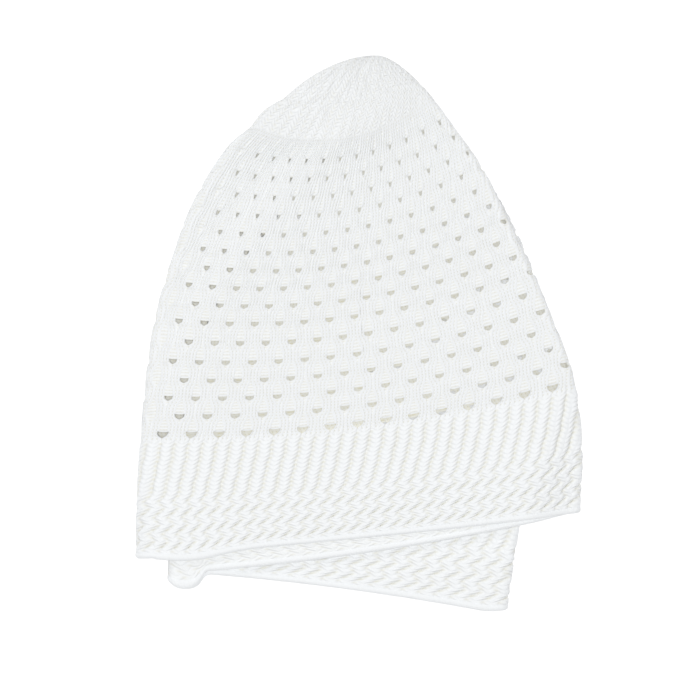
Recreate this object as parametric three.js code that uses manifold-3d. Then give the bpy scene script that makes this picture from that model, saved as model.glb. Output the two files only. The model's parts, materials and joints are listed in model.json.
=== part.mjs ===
// A knitted kufi, lying flat and folded as it is stored: one girth of knitting in four layers.
// The front lies on top. Its right edge turns under into a tuck that runs nearly to the left edge,
// turns back, and meets the back, which lies on the table. The head goes in at the hem.
// Units are millimetres. +Z is up, +Y runs from the hem to the crown, and the kufi rests on z = 0.
import * as THREE from "three";
import { mergeVertices } from "three/addons/utils/BufferGeometryUtils.js";
import Module from "manifold-3d";

// The lying outline
const LYING_WIDTH = 154;
const LYING_LENGTH = 193;

// Depths along the knitting, from the hem up to the middle of the crown
const KNIT_DEPTH = 178.5;
const HEM_DEPTH = 3.2;
const BAND_DEPTH = 40;
const CROWN_DEPTH = 37;

// The tip: above its lowest course the crown draws in to a pole, flatter across than along
const TIP_FROM = 0.88 * KNIT_DEPTH;
const TIP_CLOSED_AT = 2.2;
const TIP_X = 0.025;
const TIP_Y = 0.4955;
const TIP_HEIGHT = 6.4;
const TIP_CURVES = { across: 0.72, along: 1.3, up: 0.6 };
const ROUNDING_PASSES = 20;
const EVENING = 0.7;
const SIDE_ROUNDNESS = 0.45;
const LIFT_FROM = 0.6;
const LIFT_AT_TIP = 0.75;
const JOIN_GAP = 0.45;

// Thickness of each stretch of knitting
const HEM_WALL = 2.7;
const BAND_WALL = 2.2;
const MESH_WALL = 1.5;
const CROWN_WALL = 1.2;

// Ribs of the band
const RIBS = { front: 30, tuckOver: 28, tuckUnder: 24, back: 26 };
const RIB_RELIEF = 0.55;

// Steps of the surfaces round the girth and in each fold
const NET_STEPS = { front: 15, tuckOver: 7, tuckUnder: 4, back: 8 };
const HEM_STEPS = { front: 20, tuckOver: 26, tuckUnder: 22, back: 24 };
const FOLD_STEPS = 6;

// Eyelets: a staggered net, cut through the front where they are widest
const EYELET_ROW_PITCH = 6.1;
const FIRST_ROW_ABOVE_BAND = 2.5;
const CUT_ROWS = 9;
const EYELET_WIDTH = 3;
const EYELET_HEIGHT = 2;
const EYELET_EDGE_MARGIN = 0.035;

// How the layers lie on each other
const PUFF = 5.2;
const FOLD_RADIUS = 2;
const DRAPE_REACH = 20;
const TUCK_LOFT_REACH = 15;
const TUCK_REST_RADIUS = 1.5;

// The hem's roll at the tuck, the dip of the front hem over it, and the round corner of the flap
const ROLL_REACH = 13.5;
const ROLL_MIDDLE = 5;
const ROLL_DROP = 4.6;
const DIP_PLACE = 0.09;
const DIP_SPREAD = 0.09;
const DIP_DROP = 2.3;
const CORNER_REACH = 7;
const CORNER_LIFT = 1.2;
const HEM_SHAPE_FADE = 26;

// Where the four folds run, a row for each course. "up" is the share of the knit depth, X and Y are
// shares of the lying width and length from the middle of the outline. "sag" is how far a course
// bows towards the hem, as a share of the lying length, in the front, the tuck's two layers and the back.
const FOLDS = [
  { up: 0.0, leftX: -0.5, leftY: -0.398, rightX: 0.496, rightY: -0.319, tuckX: -0.433, tuckY: -0.428,
    backX: 0.331, backY: -0.5, frontSag: 0.005, overSag: 0.014, underSag: -0.009, backSag: -0.008 },
  { up: 0.12, leftX: -0.5, leftY: -0.293, rightX: 0.5, rightY: -0.207, tuckX: -0.43, tuckY: -0.318,
    backX: 0.352, backY: -0.38, frontSag: 0.016, overSag: 0.016, underSag: 0.0, backSag: 0.0 },
  { up: 0.24, leftX: -0.493, leftY: -0.177, rightX: 0.482, rightY: -0.082, tuckX: -0.415, tuckY: -0.198,
    backX: 0.381, backY: -0.243, frontSag: 0.026, overSag: 0.02, underSag: 0.01, backSag: 0.01 },
  { up: 0.375, leftX: -0.479, leftY: -0.046, rightX: 0.424, rightY: 0.045, tuckX: -0.388, tuckY: -0.064,
    backX: 0.438, backY: -0.09, frontSag: 0.034, overSag: 0.026, underSag: 0.018, backSag: 0.018 },
  { up: 0.44, leftX: -0.466, leftY: 0.024, rightX: 0.389, rightY: 0.11, tuckX: -0.364, tuckY: -0.002,
    backX: 0.456, backY: -0.028, frontSag: 0.038, overSag: 0.028, underSag: 0.022, backSag: 0.022 },
  { up: 0.51, leftX: -0.444, leftY: 0.092, rightX: 0.352, rightY: 0.173, tuckX: -0.32, tuckY: 0.07,
    backX: 0.43, backY: 0.041, frontSag: 0.041, overSag: 0.03, underSag: 0.026, backSag: 0.026 },
  { up: 0.65, leftX: -0.384, leftY: 0.228, rightX: 0.274, rightY: 0.299, tuckX: -0.2, tuckY: 0.215,
    backX: 0.354, backY: 0.185, frontSag: 0.043, overSag: 0.03, underSag: 0.028, backSag: 0.032 },
  { up: 0.75, leftX: -0.306, leftY: 0.331, rightX: 0.199, rightY: 0.384, tuckX: -0.06, tuckY: 0.332,
    backX: 0.289, backY: 0.281, frontSag: 0.043, overSag: 0.026, underSag: 0.024, backSag: 0.034 },
  { up: 0.8, leftX: -0.256, leftY: 0.374, rightX: 0.152, rightY: 0.428, tuckX: 0.02, tuckY: 0.39,
    backX: 0.222, backY: 0.351, frontSag: 0.04, overSag: 0.018, underSag: 0.016, backSag: 0.032 },
  { up: 0.84, leftX: -0.239, leftY: 0.402, rightX: 0.146, rightY: 0.447, tuckX: 0.05, tuckY: 0.43,
    backX: 0.18, backY: 0.412, frontSag: 0.036, overSag: 0.012, underSag: 0.012, backSag: 0.028 },
  { up: 0.88, leftX: -0.204, leftY: 0.428, rightX: 0.124, rightY: 0.462, tuckX: 0.06, tuckY: 0.44,
    backX: 0.138, backY: 0.45, frontSag: 0.03, overSag: 0.01, underSag: 0.01, backSag: 0.024 },
];

// How high the middle of the lowest layer's wall lies, so that its underside meets the table.
const LYING_CLEARANCE = 0.05;
const REST = [
  { up: 0.0, middle: HEM_WALL / 2 },
  { up: 0.04, middle: HEM_WALL / 2 },
  { up: 0.08, middle: HEM_WALL / 2 },
  { up: 0.16, middle: BAND_WALL / 2 + LYING_CLEARANCE },
  { up: 0.24, middle: BAND_WALL / 2 + LYING_CLEARANCE },
  { up: 0.36, middle: MESH_WALL / 2 + LYING_CLEARANCE },
  { up: 0.8, middle: MESH_WALL / 2 + LYING_CLEARANCE },
  { up: 0.88, middle: CROWN_WALL / 2 + LYING_CLEARANCE },
];

// How round each fold is, as a share of the fold radius. "tucked" is 1 where the tuck is folded and 0
// where it has run out, "puffed" is a share of the puff, and the columns are how many of the eyelets'
// columns lie left and right of the one in the middle of the front.
const ROUNDNESS = [
  { up: 0.0, left: 0.95, right: 0.9, back: 0.85, tuck: 1.3, tucked: 1, puffed: 1.0,
    leftColumns: 4.2, rightColumns: 11.2 },
  { up: 0.12, left: 0.9, right: 0.85, back: 0.8, tuck: 1.0, tucked: 1, puffed: 1.1,
    leftColumns: 4.9, rightColumns: 10.3 },
  { up: 0.24, left: 0.9, right: 0.8, back: 0.75, tuck: 0.8, tucked: 1, puffed: 1.1,
    leftColumns: 5.35, rightColumns: 9.55 },
  { up: 0.51, left: 0.95, right: 0.8, back: 0.75, tuck: 0.8, tucked: 1, puffed: 1.0,
    leftColumns: 5.75, rightColumns: 8.55 },
  { up: 0.65, left: 1.05, right: 0.8, back: 0.8, tuck: 0.9, tucked: 1, puffed: 0.85,
    leftColumns: 5.95, rightColumns: 7.7 },
  { up: 0.75, left: 1.2, right: 0.8, back: 0.8, tuck: 1.0, tucked: 1, puffed: 0.7,
    leftColumns: 5.7, rightColumns: 6.6 },
  { up: 0.8, left: 1.3, right: 0.8, back: 0.8, tuck: 1.0, tucked: 1, puffed: 0.55,
    leftColumns: 5.5, rightColumns: 6.2 },
  { up: 0.84, left: 1.4, right: 0.8, back: 0.8, tuck: 0.9, tucked: 0.7, puffed: 0.4,
    leftColumns: 5.5, rightColumns: 6.2 },
  { up: 0.88, left: 1.5, right: 0.8, back: 0.8, tuck: 0.8, tucked: 0, puffed: 0.3,
    leftColumns: 5.5, rightColumns: 6.2 },
];

const COTTON = { color: 0xf3f4f2, roughness: 0.92, metalness: 0 };

const clamp = (x, low = 0, high = 1) => Math.min(high, Math.max(low, x));
const mix = (a, b, t) => a + (b - a) * t;
const smooth = (x) => clamp(x) ** 2 * (3 - 2 * clamp(x));

// The value of a table's column at a place between its rows, on a smooth curve through them.
function read(table, name, up) {
  const last = table.length - 1;
  let i = 0;
  while (i < last - 1 && up > table[i + 1].up) i += 1;
  const [a, b] = [table[i], table[i + 1]];
  const span = b.up - a.up;
  const slope = (low, high) => (table[high][name] - table[low][name]) / (table[high].up - table[low].up);
  const leaving = slope(Math.max(i - 1, 0), i + 1);
  const arriving = slope(i, Math.min(i + 2, last));
  const t = clamp((up - a.up) / span);
  const [t2, t3] = [t * t, t * t * t];
  return (2 * t3 - 3 * t2 + 1) * a[name] + (t3 - 2 * t2 + t) * span * leaving
    + (3 * t2 - 2 * t3) * b[name] + (t3 - t2) * span * arriving;
}

const foldPoint = (fold, up) => new THREE.Vector2(
  read(FOLDS, `${fold}X`, up) * LYING_WIDTH,
  read(FOLDS, `${fold}Y`, up) * LYING_LENGTH,
);

// Where a fold crosses a given y, found between the courses, for the way that layers drape over it.
function foldXAt(fold, y) {
  let [low, high] = [0, 1];
  for (let i = 0; i < 24; i += 1) {
    const middle = (low + high) / 2;
    if (foldPoint(fold, middle).y < y) low = middle;
    else high = middle;
  }
  return foldPoint(fold, low).x;
}

// The four layers in the order of the girth, each with the folds it starts and ends at.
const LAYERS = [
  { name: "front", from: "left", to: "right", sag: "frontSag" },
  { name: "tuckOver", from: "right", to: "tuck", sag: "overSag" },
  { name: "tuckUnder", from: "tuck", to: "back", sag: "underSag" },
  { name: "back", from: "back", to: "left", sag: "backSag" },
];
const TURN_SIGN = { right: 1, tuck: -1, back: 1, left: -1 };

// One course of the folded girth: its four fold points, drawn in so that each fold's turn, and half
// the wall outside it, end on the outline.
function course(depth) {
  const up = depth / KNIT_DEPTH;
  const outline = {};
  const c = { up, depth, radius: {} };
  for (const fold of ["left", "right", "tuck", "back"]) {
    outline[fold] = foldPoint(fold, up);
    c.radius[fold] = read(ROUNDNESS, fold, up) * FOLD_RADIUS;
  }
  const side = outline.right.clone().sub(outline.left);
  const across = side.length();
  c.inward = side.divideScalar(Math.max(across, 1e-6));
  c.rest = read(REST, "middle", up);
  c.tucked = clamp(read(ROUNDNESS, "tucked", up));
  c.puff = PUFF * Math.max(0, read(ROUNDNESS, "puffed", up));
  c.fade = clamp(1 - depth / HEM_SHAPE_FADE) ** 2;
  const drawIn = (fold, swing) => {
    const inset = Math.min(swing + BAND_WALL / 2, across * 0.4);
    c[fold] = outline[fold].clone().addScaledVector(c.inward, -TURN_SIGN[fold] * inset);
  };
  for (const fold of Object.keys(outline)) drawIn(fold, c.radius[fold]);
  c.sideSwing = SIDE_ROUNDNESS * (layerPoint(LAYERS[0], c, 1).z - c.rest);
  LAYERS.forEach((layer, i) => {
    const after = LAYERS[(i + 1) % LAYERS.length];
    const swing = Math.abs(layerPoint(layer, c, 1).z - layerPoint(after, c, 0).z) / 2;
    const opened = layer.to === "right" || layer.to === "back" ? 1 - c.tucked : 0;
    drawIn(layer.to, mix(swing, c.sideSwing, opened));
  });
  return c;
}

// Heights of the middle of each layer. The lower layers of the tuck carry the upper ones, which
// drape down to the table past their edges.
function tuckLoft(c, fromTuck) {
  const loft = (c.radius.tuck - TUCK_REST_RADIUS) * Math.exp(-Math.max(fromTuck, 0) / TUCK_LOFT_REACH);
  return 2 * c.radius.back + 2 * (TUCK_REST_RADIUS + loft);
}

function carried(c, x, y) {
  const overBack = smooth((foldXAt("back", y) + DRAPE_REACH - x) / DRAPE_REACH);
  const overTuck = smooth((x - foldXAt("tuck", y) + DRAPE_REACH) / DRAPE_REACH);
  return { overBack, overTuck };
}

const heights = {
  front(c, x, y, t) {
    const { overBack, overTuck } = carried(c, x, y);
    const lift = LIFT_AT_TIP * smooth((c.up - LIFT_FROM) / (TIP_FROM / KNIT_DEPTH - LIFT_FROM));
    const stack = tuckLoft(c, x - c.tuck.x) * mix(overBack * overTuck, 1, lift);
    const edge = 2 * mix(c.radius.left, c.radius.right, smooth(t));
    return c.rest + stack + edge + c.puff * Math.sin(Math.PI * clamp(t));
  },
  tuckOver(c, x, y) {
    return c.rest + tuckLoft(c, x - c.tuck.x) * carried(c, x, y).overBack;
  },
  tuckUnder(c) {
    return c.rest + 2 * c.radius.back;
  },
  back(c) {
    return c.rest;
  },
};

// How far the hem drops below its straight course, besides the sag.
function hemDrop(layer, c, t, width) {
  const fromTuck = (layer === "tuckOver" ? 1 - t : t) * width;
  if (layer === "front") return DIP_DROP * Math.exp(-(((t - DIP_PLACE) / DIP_SPREAD) ** 2)) * c.fade;
  let drop = 0;
  if (layer !== "back") {
    drop += ROLL_DROP * (1 - smooth(Math.abs(fromTuck - ROLL_MIDDLE) / (ROLL_REACH - ROLL_MIDDLE)));
  }
  const fromCorner = layer === "tuckUnder" ? (1 - t) * width : layer === "back" ? t * width : Infinity;
  drop -= CORNER_LIFT * clamp(1 - fromCorner / CORNER_REACH) ** 2;
  return drop * c.fade;
}

function layerPoint(layer, c, t) {
  const [a, b] = [c[layer.from], c[layer.to]];
  const width = a.distanceTo(b);
  const sag = read(FOLDS, layer.sag, c.up) * LYING_LENGTH * 4 * t * (1 - t);
  const x = mix(a.x, b.x, t);
  const y = mix(a.y, b.y, t) - sag - hemDrop(layer.name, c, t, width);
  return new THREE.Vector3(x, y, heights[layer.name](c, x, y, t));
}

// A fold turns from the end of one layer to the start of the next on a half ellipse.
function foldTurn(before, after, c, t) {
  const a = layerPoint(before, c, 1);
  const b = layerPoint(after, c, 0);
  const sign = TURN_SIGN[before.to];
  const swing = Math.abs(a.z - b.z) / 2;
  const middle = a.clone().add(b).multiplyScalar(0.5);
  const reach = sign * Math.sin(Math.PI * t) * swing;
  const height = mix(a.z, b.z, 0.5) + Math.cos(Math.PI * t) * (a.z - b.z) * 0.5;
  return new THREE.Vector3(middle.x + c.inward.x * reach, middle.y + c.inward.y * reach, height);
}

// Where the tuck has run out, its stretch of the girth is one plain round side from the front to the
// back. "share" runs from 0 at the front to 1 at the back.
const SIDE_SHARES = {
  front: { fold: [0, 0.12] },
  tuckOver: { layer: [0.12, 0.42], fold: [0.42, 0.58] },
  tuckUnder: { layer: [0.58, 0.88], fold: [0.88, 1] },
};

function plainSide(c, share) {
  const top = layerPoint(LAYERS[0], c, 1);
  const foot = layerPoint(LAYERS[3], c, 0);
  const swing = Math.sin(Math.PI * share) * c.sideSwing;
  const point = top.clone().lerp(foot, share);
  point.z = mix(top.z, foot.z, (1 - Math.cos(Math.PI * share)) / 2);
  point.x += c.inward.x * swing;
  point.y += c.inward.y * swing;
  return point;
}

// The middle of the wall at a course and a place in the girth: a layer or fold, and t from 0 to 1 in it.
function wallMiddle(c, place) {
  const layer = LAYERS[place.layer];
  const next = LAYERS[(place.layer + 1) % LAYERS.length];
  const point = place.isFold ? foldTurn(layer, next, c, place.t) : layerPoint(layer, c, place.t);
  const side = SIDE_SHARES[layer.name]?.[place.isFold ? "fold" : "layer"];
  if (side && c.tucked < 1) point.lerp(plainSide(c, mix(side[0], side[1], place.t)), 1 - c.tucked);
  return point;
}

// The places round the girth: so many steps in each layer, and the same few in each fold.
function girth(steps, foldSteps) {
  const places = [];
  LAYERS.forEach((layer, i) => {
    const count = steps[layer.name];
    for (let k = 0; k < count; k += 1) places.push({ layer: i, isFold: false, t: k / count });
    for (let k = 0; k < foldSteps; k += 1) places.push({ layer: i, isFold: true, t: k / foldSteps });
  });
  return places;
}

const range = (from, to, steps) => Array.from({ length: steps + 1 }, (_, i) => mix(from, to, i / steps));

const NET_TOP = KNIT_DEPTH - CROWN_DEPTH - JOIN_GAP;

// Spreads the points of a course evenly round it, and rounds its corners, each by a share of 0 to 1.
function evenedOut(points, evening, rounding) {
  if (evening <= 0) return points;
  const n = points.length;
  const lengths = points.map((p, j) => p.distanceTo(points[(j + 1) % n]));
  const step = lengths.reduce((sum, length) => sum + length, 0) / n;
  const even = [];
  let [j, passed] = [0, 0];
  for (let k = 0; k < n; k += 1) {
    while (j < n - 1 && passed + lengths[j] < k * step) {
      passed += lengths[j];
      j += 1;
    }
    even.push(points[j].clone().lerp(points[(j + 1) % n], (k * step - passed) / lengths[j]));
  }
  let spread = points.map((p, k) => p.clone().lerp(even[k], evening));
  for (let pass = 0; pass < ROUNDING_PASSES; pass += 1) {
    spread = spread.map((p, k) => {
      const beside = spread[(k + 1) % n].clone().add(spread[(k + n - 1) % n]).multiplyScalar(0.5);
      return p.clone().lerp(beside, rounding / 2);
    });
  }
  return spread;
}

const TIP = new THREE.Vector3(TIP_X * LYING_WIDTH, TIP_Y * LYING_LENGTH, TIP_HEIGHT);

// The middle of the wall all round one course.
function courseLine(places, depth) {
  const c = course(Math.min(depth, TIP_FROM));
  const evening = EVENING * smooth((depth - NET_TOP) / (KNIT_DEPTH - NET_TOP));
  const rounding = clamp(2 * (1 - c.tucked));
  const points = evenedOut(places.map((place) => wallMiddle(c, place)), evening, rounding);
  if (depth <= TIP_FROM) return points;
  const left = (KNIT_DEPTH - depth) / (KNIT_DEPTH - TIP_FROM);
  const { across, along, up } = TIP_CURVES;
  const shrink = new THREE.Vector3(left ** across, left ** along, left ** up);
  return points.map((p) => p.sub(TIP).multiply(shrink).add(TIP));
}

const JOINTS = [HEM_DEPTH, BAND_DEPTH, NET_TOP];

// The middle surface on a grid, with the direction up the knitting and the outward normal. The two
// rims at a joint take the directions of one course between them, so their gap is even.
function surfaceGrid(places, depths) {
  const probe = 0.5;
  const at = (depth) => courseLine(places, depth);
  return depths.map((depth) => {
    const joint = JOINTS.find((d) => Math.abs(d + JOIN_GAP / 2 - depth) < JOIN_GAP);
    const facing = joint === undefined ? depth : joint + JOIN_GAP / 2;
    const [level, above, below] = [at(facing), at(facing + probe), at(Math.max(facing - probe, 0))];
    const own = at(depth);
    const grid = level.map((middle, j) => {
      const n = level.length;
      const along = level[(j + 1) % n].clone().sub(level[j]).normalize()
        .add(level[j].clone().sub(level[(j + n - 1) % n]).normalize());
      const up = above[j].clone().sub(below[j]).normalize();
      const normal = along.clone().cross(up).normalize();
      const point = joint === undefined ? own[j] : middle.clone().addScaledVector(up, depth - facing);
      return { point, up, normal };
    });
    const rounding = clamp(2 * (1 - course(Math.min(facing, TIP_FROM)).tucked));
    return grid.map((g, j) => {
      const n = grid.length;
      const beside = grid[(j + 1) % n].normal.clone().add(grid[(j + n - 1) % n].normal);
      return { ...g, normal: g.normal.clone().addScaledVector(beside, rounding).normalize() };
    });
  });
}

// A closed wall between two depths: an outer skin, an inner skin and the rims that join them.
// "relief" gives how much lower the outer skin is at a place; a closed crown ends in two poles.
function knitWall({ places, depths, wall, relief = () => 0, closed = false }) {
  const grid = surfaceGrid(places, depths);
  const [rows, columns] = [grid.length, places.length];
  const positions = [];
  const put = (v) => positions.push(v.x, v.y, v.z) / 3 - 1;
  const skin = (side) => grid.map((row, i) => row.map(({ point, normal }, j) => {
    const thickness = side * wall / 2 - (side > 0 ? relief(j) : 0);
    return put(point.clone().addScaledVector(normal, thickness));
  }));
  const [outer, inner] = [skin(1), skin(-1)];
  const index = [];
  const quad = (a, b, c, d) => index.push(a, b, c, a, c, d);
  for (let j = 0; j < columns; j += 1) {
    const k = (j + 1) % columns;
    for (let i = 0; i < rows - 1; i += 1) {
      quad(outer[i][j], outer[i][k], outer[i + 1][k], outer[i + 1][j]);
      quad(inner[i][k], inner[i][j], inner[i + 1][j], inner[i + 1][k]);
    }
    quad(outer[0][k], outer[0][j], inner[0][j], inner[0][k]);
    if (!closed) quad(outer[rows - 1][j], outer[rows - 1][k], inner[rows - 1][k], inner[rows - 1][j]);
  }
  if (closed) {
    const last = grid[rows - 1];
    const middle = last.reduce((sum, g) => sum.add(g.point), new THREE.Vector3()).divideScalar(columns);
    const up = TIP.clone().sub(middle).normalize();
    const outerPole = put(TIP.clone().addScaledVector(up, wall / 2));
    const innerPole = put(TIP.clone().addScaledVector(up, -wall / 2));
    for (let j = 0; j < columns; j += 1) {
      const k = (j + 1) % columns;
      index.push(outer[rows - 1][j], outer[rows - 1][k], outerPole);
      index.push(inner[rows - 1][k], inner[rows - 1][j], innerPole);
    }
  }
  const geometry = new THREE.BufferGeometry();
  geometry.setAttribute("position", new THREE.Float32BufferAttribute(positions, 3));
  geometry.setIndex(index);
  return geometry;
}

// The hem: a round edge, an oval cord of knitting that follows the lowest course.
function hemEdge() {
  const sides = 6;
  const places = girth(HEM_STEPS, FOLD_STEPS);
  const [ring] = surfaceGrid(places, [HEM_DEPTH / 2]);
  const positions = [];
  for (const { point, up, normal } of ring) {
    for (let k = 0; k < sides; k += 1) {
      const angle = (2 * Math.PI * (k + 0.5)) / sides;
      const v = point.clone()
        .addScaledVector(normal, (Math.cos(angle) * HEM_WALL) / 2 / Math.cos(Math.PI / sides))
        .addScaledVector(up, (Math.sin(angle) * HEM_DEPTH) / 2);
      positions.push(v.x, v.y, v.z);
    }
  }
  const index = [];
  for (let j = 0; j < ring.length; j += 1) {
    const next = (j + 1) % ring.length;
    for (let k = 0; k < sides; k += 1) {
      const [a, b] = [j * sides + k, next * sides + k];
      const [c, d] = [next * sides + ((k + 1) % sides), j * sides + ((k + 1) % sides)];
      index.push(a, b, c, a, c, d);
    }
  }
  const geometry = new THREE.BufferGeometry();
  geometry.setAttribute("position", new THREE.Float32BufferAttribute(positions, 3));
  geometry.setIndex(index);
  return geometry;
}

// The band: ribs run up it, one high and one low line to each rib.
function zigzagBand() {
  const steps = Object.fromEntries(Object.entries(RIBS).map(([layer, ribs]) => [layer, ribs * 2]));
  const places = girth(steps, FOLD_STEPS);
  const isGroove = ({ layer, isFold, t }) => !isFold && Math.round(t * steps[LAYERS[layer].name]) % 2 === 1;
  const relief = (j) => (isGroove(places[j]) ? RIB_RELIEF : 0);
  return knitWall({
    places,
    depths: range(HEM_DEPTH + JOIN_GAP, BAND_DEPTH, 2),
    wall: BAND_WALL,
    relief,
  });
}

// One eyelet's cutter: flat above and pointed below, through the front only.
function eyeletCutter(c, t) {
  const place = { layer: 0, isFold: false, t };
  const point = wallMiddle(c, place);
  const right = wallMiddle(c, { ...place, t: t + 0.01 }).sub(point).normalize();
  const up = wallMiddle(course(c.depth + 0.5), place).sub(point).normalize();
  const normal = right.clone().cross(up).normalize();
  const shape = new THREE.Shape();
  shape.moveTo(-EYELET_WIDTH / 2, EYELET_HEIGHT / 2);
  shape.lineTo(0, -EYELET_HEIGHT / 2);
  shape.lineTo(EYELET_WIDTH / 2, EYELET_HEIGHT / 2);
  const reach = MESH_WALL + 1.2;
  const cutter = new THREE.ExtrudeGeometry(shape, { depth: reach, bevelEnabled: false });
  cutter.translate(0, 0, -reach / 2);
  const placed = new THREE.Matrix4().makeBasis(right, normal.clone().cross(right), normal);
  cutter.applyMatrix4(placed.setPosition(point));
  return cutter;
}

function eyelets() {
  const cutters = [];
  for (let row = 0; row < CUT_ROWS; row += 1) {
    const c = course(BAND_DEPTH + FIRST_ROW_ABOVE_BAND + row * EYELET_ROW_PITCH);
    const left = -read(ROUNDNESS, "leftColumns", c.up);
    const right = read(ROUNDNESS, "rightColumns", c.up);
    const stagger = (row % 2) / 2;
    for (let column = Math.ceil(left - stagger); column + stagger < right; column += 1) {
      const t = (column + stagger - left) / (right - left);
      if (t > EYELET_EDGE_MARGIN && t < 1 - EYELET_EDGE_MARGIN) cutters.push(eyeletCutter(c, t));
    }
  }
  return cutters;
}

const wasm = await Module();
wasm.setup();

function solid(geometry) {
  const bare = geometry.clone();
  bare.deleteAttribute("normal");
  bare.deleteAttribute("uv");
  const merged = mergeVertices(bare, 1e-4);
  return new wasm.Manifold(new wasm.Mesh({
    numProp: 3,
    vertProperties: new Float32Array(merged.attributes.position.array),
    triVerts: new Uint32Array(merged.index.array),
  }));
}

function geometryOf(manifold) {
  const mesh = manifold.getMesh();
  const geometry = new THREE.BufferGeometry();
  geometry.setAttribute("position", new THREE.Float32BufferAttribute(mesh.vertProperties, 3));
  geometry.setIndex(new THREE.BufferAttribute(mesh.triVerts, 1));
  return geometry;
}

// The eyelet net: a wall with its widest eyelets cut through the front.
function eyeletNet() {
  const wall = solid(knitWall({
    places: girth(NET_STEPS, FOLD_STEPS),
    depths: range(BAND_DEPTH + JOIN_GAP, NET_TOP, 7),
    wall: MESH_WALL,
  }));
  return geometryOf(eyelets().reduce((left, cutter) => left.subtract(solid(cutter)), wall));
}

function crown() {
  return knitWall({
    places: girth(NET_STEPS, FOLD_STEPS),
    depths: [
      ...range(NET_TOP + JOIN_GAP, TIP_FROM, 5),
      ...range(TIP_FROM, KNIT_DEPTH - TIP_CLOSED_AT, 3).slice(1),
    ],
    wall: CROWN_WALL,
    closed: true,
  });
}

function piece(name, geometry) {
  const mesh = new THREE.Mesh(geometry, new THREE.MeshStandardMaterial(COTTON));
  mesh.name = name;
  return mesh;
}

const kufi = new THREE.Group();
kufi.add(
  piece("crown", crown()),
  piece("eyelet_net", eyeletNet()),
  piece("zigzag_band", zigzagBand()),
  piece("hem_edge", hemEdge()),
);

// The origin is under the middle of the kufi's box, on the table.
const box = new THREE.Box3().setFromObject(kufi, true);
const middle = box.getCenter(new THREE.Vector3());
kufi.position.set(-middle.x, -middle.y, -box.min.z);

export default kufi;
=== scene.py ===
"""A white cotton kufi, knitted in one girth, lying flat and folded in four layers on a pale table.

Each stretch of the knitting is drawn flat at its real size, as a grid of fabric with its eyelets cut and
its thickness given. It is then laid along the cap's folds. Lengths are in millimetres until the last step.
"""

import json
import math

import bpy
import numpy as np
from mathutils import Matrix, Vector

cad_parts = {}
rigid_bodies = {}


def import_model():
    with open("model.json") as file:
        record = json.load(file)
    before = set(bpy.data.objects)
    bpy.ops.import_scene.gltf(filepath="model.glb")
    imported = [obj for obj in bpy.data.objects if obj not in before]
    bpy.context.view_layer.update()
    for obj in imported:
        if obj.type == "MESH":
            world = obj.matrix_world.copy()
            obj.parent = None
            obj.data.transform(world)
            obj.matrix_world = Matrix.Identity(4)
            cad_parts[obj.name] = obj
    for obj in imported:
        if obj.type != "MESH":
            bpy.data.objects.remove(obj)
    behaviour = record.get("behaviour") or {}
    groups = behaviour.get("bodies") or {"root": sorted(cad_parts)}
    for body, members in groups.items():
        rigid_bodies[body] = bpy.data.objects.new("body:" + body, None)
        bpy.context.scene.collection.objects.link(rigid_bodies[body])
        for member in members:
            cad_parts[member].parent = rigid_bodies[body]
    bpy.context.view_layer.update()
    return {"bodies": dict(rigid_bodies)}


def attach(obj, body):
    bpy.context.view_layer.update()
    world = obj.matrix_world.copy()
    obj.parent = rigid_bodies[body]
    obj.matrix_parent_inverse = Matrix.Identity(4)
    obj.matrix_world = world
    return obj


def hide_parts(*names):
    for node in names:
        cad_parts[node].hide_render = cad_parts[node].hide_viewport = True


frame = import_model()

MM = 0.001

# The lying outline, and depths along the knitting from the hem to the middle of the crown.
LYING_WIDTH = 154.0
LYING_LENGTH = 193.0
KNIT_DEPTH = 178.5
BAND_DEPTH = 40.0
CROWN_DEPTH = 37.0
JOIN_GAP = 0.45
NET_TOP = KNIT_DEPTH - CROWN_DEPTH - JOIN_GAP

# The tip of the crown.
TIP_FROM = 0.88 * KNIT_DEPTH
TIP = np.array([0.034 * LYING_WIDTH, 0.498 * LYING_LENGTH, 6.4])
TIP_CURVES = np.array([0.745, 1.4, 0.6])
ROUNDING_PASSES = 20
EVENING = 0.7
SIDE_ROUNDNESS = 0.45
LIFT_FROM = 0.6
LIFT_AT_TIP = 0.5
ROUNDING_RATE = 1.5
EVEN_COLUMNS_REACH = 25

# Thickness of each stretch.
HEM_WALL = 2.7
BAND_WALL = 2.2
MESH_WALL = 1.5
CROWN_WALL = 1.2

# How the layers lie on each other. The front sinks onto the tuck, and puffs up again over the crown.
PUFF = -2.3
CROWN_PUFF = 1.6
CROWN_PUFF_FROM = 0.74
CROWN_PUFF_RUN = 0.12
PUFF_BREADTH = 0.6
FOLD_RADIUS = 2.0
LARGEST_INSET = 0.4
DRAPE_REACH = 20.0
TUCK_LOFT_REACH = 15.0
TUCK_REST_RADIUS = 1.5
LOBE_RADIUS = 6.4
LOBE_MIDDLE = 2.7
LOBE_RISE = 0.8
DIP_PLACE = 0.09
DIP_SPREAD = 0.09
DIP_DROP = 2.3
CORNER_REACH = 7.0
CORNER_LIFT = 1.2
HEM_SHAPE_FADE = 26.0
LYING_CLEARANCE = 0.05

# Moves the cap so that the middle of its lying box is over the origin.
CENTRING = np.array([0.523, -0.134, 0.0])


def table(names, rows):
    """A table's columns by name."""
    return dict(zip(names.split(), np.array(rows, float).T))


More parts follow.
